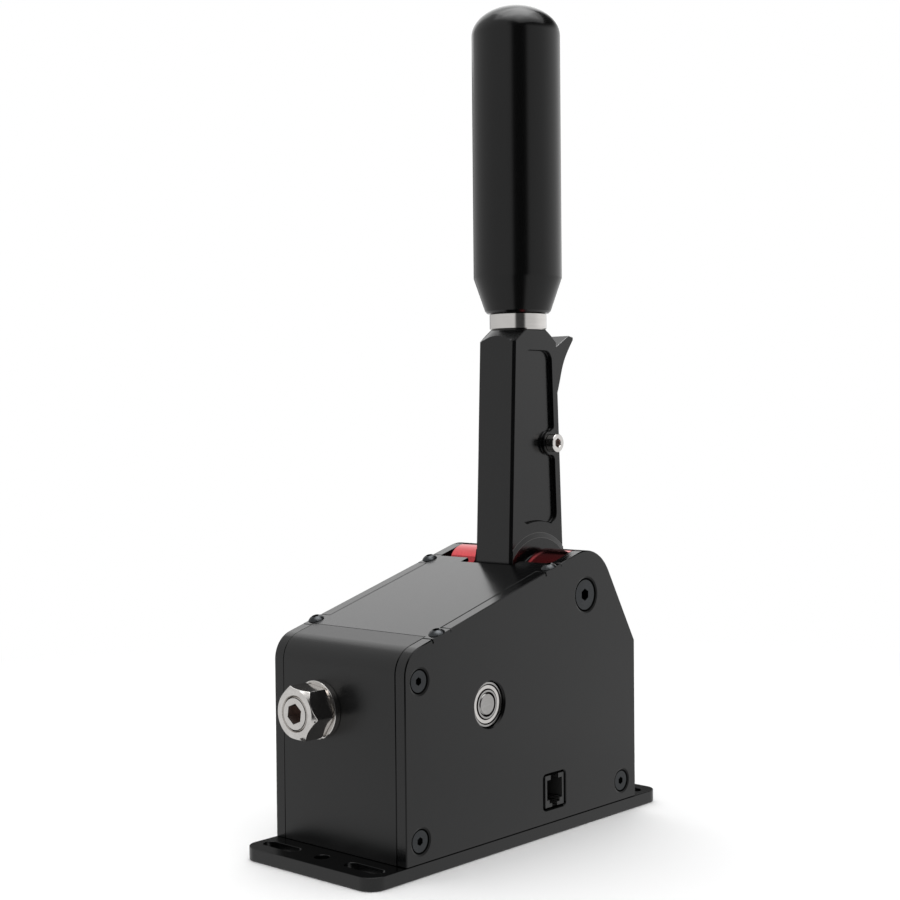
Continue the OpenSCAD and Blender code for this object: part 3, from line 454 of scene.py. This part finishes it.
def chamfer(bm, edges, width, material):
    """Breaks the given edges by a flat chamfer with crisp borders."""
    made = bmesh.ops.bevel(
        bm, geom=edges, offset=width, offset_type="OFFSET", segments=1, profile=0.5,
        affect="EDGES", clamp_overlap=False, material=material,
    )
    strip = set(made["faces"])
    for face in strip:
        for edge in face.edges:
            if any(other not in strip for other in edge.link_faces):
                edge.smooth = False


def front_end(verts):
    """Yields the vertices at the front ends of nut and stop screw, with spokes from the axis."""
    low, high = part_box("lock_nut")
    middle = (low + high) / 2
    for v in verts:
        spoke = Vector((v.co.x - middle.x, 0.0, v.co.z - middle.z))
        if v.co.y <= low.y + END_L and spoke.length >= SCREW_END_R:
            yield v, spoke


def set_radius(v, spoke, radius):
    """Moves a vertex along its spoke."""
    hub = v.co - spoke
    v.co = hub + spoke * (radius / spoke.length)


def ease_nut(verts):
    """Turns the nut's front corners down and narrows its mouth."""
    face_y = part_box("lock_nut")[0].y
    for v, spoke in front_end(verts):
        if spoke.length > NUT_FACE_R:
            v.co.y = face_y + (spoke.length - NUT_FACE_R) * NUT_CONE
        elif spoke.length < NUT_FACE_R - MM:
            set_radius(v, spoke, BORE_R + (spoke.length - BORE_R) * MOUTH)


def ease_screw(verts):
    """Narrows the ring between the stop screw's end and the nut."""
    for v, spoke in front_end(verts):
        set_radius(v, spoke, SCREW_R - (SCREW_R - spoke.length) * SCREW_END)


def hollow_back(verts):
    """Deepens the curve of the trigger's back towards its tip."""
    for v in verts:
        share = (v.co.z - HOLLOW_Z[0]) / (HOLLOW_Z[1] - HOLLOW_Z[0])
        if 0.0 < share < 1.0 and v.co.y > TRIGGER_BACK_Y:
            v.co.y -= HOLLOW * math.sin(math.pi * share) ** 2


def raise_pockets(verts):
    """Makes the lever's side pockets a little shallower."""
    for v in verts:
        if abs(abs(v.co.x) - POCKET_X) < POCKET_TOL:
            v.co.x += math.copysign(POCKET_RAISE, v.co.x)


RESHAPED = {
    "lock_nut": ease_nut,
    "stop_screw": ease_screw,
    "trigger": hollow_back,
    "lever_arm": raise_pockets,
}


def stand_for(node, obj):
    """Puts an object in the place of a CAD node, on the same body, and hides the node."""
    link_to_scene(obj)
    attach(obj, BODY_OF[node])
    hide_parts(node)


def finished(node, materials, width, rubbed=0.0, sharp=SHARP_DEG, last_on=None):
    """Stands for a CAD node with its sharp edges broken; shallow creases stay crisp or take a
    painted highlight.

    The first material is the surface's, the second the broken edges', and the last one, where it is
    asked for, that of the creases' painted highlight or of the faces whose direction last_on picks.
    """
    mesh = NODES[node].data.copy()
    mesh.name = node + "_finished"
    bm = bmesh.new()
    bm.from_mesh(mesh)
    patch = patches(bm)
    bmesh.ops.remove_doubles(bm, verts=bm.verts, dist=WELD)
    if node in RESHAPED:
        RESHAPED[node](bm.verts)
        bm.normal_update()
    bmesh.ops.dissolve_limit(
        bm, angle_limit=math.radians(FLAT_DEG), use_dissolve_boundaries=False,
        verts=bm.verts, edges=bm.edges, delimit=set(),
    )
    last = len(materials) - 1
    for face in bm.faces:
        face.material_index = last if last_on and last_on(face.normal) else 0
        face.smooth = True
    shallow = mark_creases(bm, patch)
    # Shallow creases get a thin chamfer in the last material, a painted highlight
    if rubbed:
        chamfer(bm, shallow, rubbed, last)
    # Without a second material, broken edges take that of the faces beside them
    broken = [edge for edge in bm.edges if turn_at(edge) > sharp and not is_flush(edge)]
    chamfer(bm, broken, width, 1 if len(materials) > 1 else -1)
    mesh.materials.clear()
    for material in materials:
        mesh.materials.append(material)
    bm.to_mesh(mesh)
    bm.free()
    # The CAD mesh's own normals no longer fit
    if "custom_normal" in mesh.attributes:
        mesh.attributes.remove(mesh.attributes["custom_normal"])
    obj = bpy.data.objects.new(mesh.name, mesh)
    shading = obj.modifiers.new("normals", "WEIGHTED_NORMAL")
    shading.weight = FACE_WEIGHT
    shading.keep_sharp = True
    stand_for(node, obj)
    return obj


def darken_socket(obj, axis, outward, radius, material):
    """Gives the faces inside a screw's hexagon socket their own darker, browner steel: a painted
    shade in the recess.
    """
    corners = [Vector(v.co) for v in obj.data.vertices]
    middle = [(min(c[i] for c in corners) + max(c[i] for c in corners)) / 2 for i in range(3)]
    end = max(c[axis] * outward for c in corners)
    obj.data.materials.append(material)
    across = [i for i in range(3) if i != axis]
    for polygon in obj.data.polygons:
        depth = end - polygon.center[axis] * outward
        away = math.hypot(*(polygon.center[i] - middle[i] for i in across))
        if depth > SOCKET_DEPTH and away < radius:
            polygon.material_index = len(obj.data.materials) - 1


def turned_grip(material):
    """Stands for the CAD grip with the same outline, turned finely enough for clean reflections."""
    low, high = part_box("grip")
    foot, top = low.z, high.z
    radius = (high.x - low.x) / 2
    outline = [
        (0.0, foot), (GRIP_FOOT_R - GRIP_EDGE, foot), (GRIP_FOOT_R, foot + GRIP_EDGE),
        (radius, foot + GRIP_CONE_L),
    ]
    for step in range(DOME_STEPS + 1):
        a = math.pi / 2 * step / DOME_STEPS
        outline.append((radius * math.cos(a), top - GRIP_DOME_H + GRIP_DOME_H * math.sin(a)))
    bm = bmesh.new()
    points = [bm.verts.new((0.0, r, z)) for r, z in outline]
    line = [bm.edges.new(pair) for pair in zip(points, points[1:])]
    bmesh.ops.spin(
        bm, geom=points + line, cent=(0, 0, 0), axis=(0, 0, 1), angle=2 * math.pi,
        steps=GRIP_SIDES, use_merge=True, use_duplicate=False,
    )
    bmesh.ops.remove_doubles(bm, verts=bm.verts, dist=GRIP_WELD)
    bmesh.ops.recalc_face_normals(bm, faces=bm.faces)
    for face in bm.faces:
        face.smooth = True
    for edge in bm.edges:
        edge.smooth = turn_at(edge) < CREASE_DEG
    bmesh.ops.translate(bm, verts=bm.verts, vec=(0.0, (low.y + high.y) / 2, 0.0))
    mesh = bpy.data.meshes.new("grip_turned")
    bm.to_mesh(mesh)
    bm.free()
    mesh.materials.append(material)
    stand_for("grip", bpy.data.objects.new(mesh.name, mesh))


def pressed_spring(node, material):
    """Stands for a CAD spring with a copy of its mesh in the given material."""
    mesh = NODES[node].data.copy()
    mesh.materials.clear()
    mesh.materials.append(material)
    obj = bpy.data.objects.new(node + "_pressed", mesh)
    stand_for(node, obj)
    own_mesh(obj)


# Pieces with broken edges: their materials, and the width of their edges with what else they need.
# Where a piece has a second material, its broken edges take it as a painted shade, save on the
# trigger, where it is a painted highlight
BLACK = ["black_anodised", "anodised_edge"]
BLACK_SCREW = ["black_steel", "gap"]
FINISHES = {
    # The base plate's upper faces take a painted shade
    "base_plate": (BLACK + ["anodised_top"], dict(width=0.12 * MM, last_on=upward)),
    "front_block": (["blasted_front", "anodised_edge"], dict(width=0.2 * MM)),
    "rear_block": (BLACK, dict(width=0.2 * MM)),
    "top_cover": (BLACK, dict(width=0.12 * MM)),
    # The side plates' countersinks take a near-black painted shade
    "right_side_plate": (BLACK + ["gap"], dict(width=0.35 * MM, last_on=slanted)),
    "left_side_plate": (BLACK + ["gap"], dict(width=0.15 * MM, last_on=slanted)),
    # The trigger's upper faces take a painted shade
    "trigger": (
        ["black_anodised", "worn_edge", "anodised_edge"], dict(width=0.2 * MM, last_on=upward)),
    # The lever's shallow creases take a painted highlight
    "lever_arm": (
        BLACK + ["rubbed_edge"], dict(width=0.2 * MM, rubbed=0.12 * MM, sharp=50.0)),
    "lock_nut": (["steel"], dict(width=0.1 * MM)),
    "lock_washer": (["steel"], dict(width=0.2 * MM)),
    # The bearing rings' and shields' own chamfers take a near-black painted shade
    "bearing_outer_rings": (["bearing_steel", "gap"], dict(width=0.08 * MM, last_on=slanted)),
    "bearing_shields": (["steel", "gap"], dict(width=0.12 * MM, last_on=slanted)),
    "bearing_inner_rings": (["bearing_steel", "gap"], dict(width=0.08 * MM, last_on=slanted)),
    "cross_bar": (["bearing_steel", "gap"], dict(width=0.06 * MM)),
    "modular_jack": (["black_plastic", "gap"], dict(width=0.2 * MM)),
    "stop_screw": (["steel", "gap"], dict(width=0.15 * MM)),
    "trigger_screw": (["steel"], dict(width=0.22 * MM)),
    "side_plate_screws": (BLACK_SCREW, dict(width=0.35 * MM, sharp=100.0)),
    "pivot_screws": (BLACK_SCREW, dict(width=0.45 * MM, sharp=100.0)),
    "cover_screws": (BLACK_SCREW, dict(width=0.15 * MM)),
}


def dress(made):
    """Gives every CAD node its slot's material, and puts the finished pieces in their places."""
    for node, obj in NODES.items():
        obj.data.materials.clear()
        obj.data.materials.append(made[SLOT_OF[node]])
    for node, (names, finish) in FINISHES.items():
        obj = finished(node, [made[name] for name in names], **finish)
        if node in SOCKETS:
            darken_socket(obj, material=made["socket"], **SOCKETS[node])
    turned_grip(made["grip_black"])
    for node in ("return_spring", "trigger_spring"):
        pressed_spring(node, made["steel"])


# Stage


def add_world():
    """A white room. Its walls, with the dark side behind the camera, show in reflections alone."""
    world = bpy.data.worlds.new("studio")
    world.use_nodes = True
    bpy.context.scene.world = world
    n = Nodes(world.node_tree)
    direction = n.add("ShaderNodeTexCoord").outputs["Generated"]
    height = n.add("ShaderNodeSeparateXYZ", Vector=direction).outputs["Z"]
    walls = n.ring(direction, WALLS)
    for levels, heights in SHADES:
        shade = n.ring(direction, levels)
        walls = n.mix(n.span(height, heights), walls, shade, blend="MULTIPLY")
    mirrored = n.add("ShaderNodeLightPath").outputs["Is Glossy Ray"]
    background = n.tree.nodes["Background"]
    n.feed(background, "Color", WHITE)
    n.feed(background, "Strength", n.mix(mirrored, 1.0, walls, kind="FLOAT"))


def add_floor():
    """White floor that takes the shadow and runs out into the white room."""
    mesh = bpy.data.meshes.new("floor")
    signs = ((-1, -1), (1, -1), (1, 1), (-1, 1))
    corners = [(x * FLOOR_REACH, y * FLOOR_REACH, 0) for x, y in signs]
    mesh.from_pydata(corners, [], [(0, 1, 2, 3)])
    floor = bpy.data.objects.new("floor", mesh)
    floor.location.z = -FLOOR_DROP
    link_to_scene(floor)
    n = Surface("floor")
    n.finish(
        Base_Color=n.ramp(n.noise(scale=3.0), [(0.2, grey(0.94)), (0.8, grey(0.96))]),
        Roughness=0.7,
        Specular_IOR_Level=0.0,
    )
    away = n.add("ShaderNodeVectorMath", Vector=n.coords)
    away.operation = "LENGTH"
    far, near = (
        n.span(away.outputs["Value"], source, smooth=smooth)
        for source, smooth in ((FADE_SPAN, True), (NEAR_SPAN, False))
    )
    ray = n.add("ShaderNodeLightPath")
    seen = n.calculate("MULTIPLY", far, ray.outputs["Is Camera Ray"])
    around = n.mix(near, opaque(grey(FLOOR_NEAR)), n.ring(n.coords, FLOOR))
    surface = n.shader.outputs[0]
    for share, tone in ((seen, WHITE), (ray.outputs["Is Glossy Ray"], around)):
        glow = n.add("ShaderNodeEmission", Color=tone, Strength=1.0)
        blend = n.add("ShaderNodeMixShader")
        for key, value in enumerate((share, surface, glow.outputs[0])):
            n.feed(blend, key, value)
        surface = blend.outputs[0]
    n.feed(n.tree.nodes["Material Output"], "Surface", surface)
    mesh.materials.append(n.material)


def add_light(name, at, toward, size, power, gloss_only=False):
    """A soft rectangular lamp."""
    data = bpy.data.lights.new(name, "AREA")
    data.shape = "RECTANGLE"
    data.size, data.size_y = size
    data.energy = power
    lamp = bpy.data.objects.new(name, data)
    lamp.visible_diffuse = not gloss_only
    lamp.location = at
    lamp.rotation_euler = (Vector(toward) - Vector(at)).to_track_quat("-Z", "Y").to_euler()
    link_to_scene(lamp)


def main():
    bpy.context.scene.view_settings.view_transform = "Standard"
    add_camera()
    add_world()
    add_floor()
    for lamp in LAMPS:
        add_light(*lamp)
    for size, power in OVERHEAD:
        add_light("overhead", OVERHEAD_AT, OVERHEAD_AIM, size, power, gloss_only=True)
    dress({name: make(name, **look) for name, (make, look) in LOOKS.items()})


main()
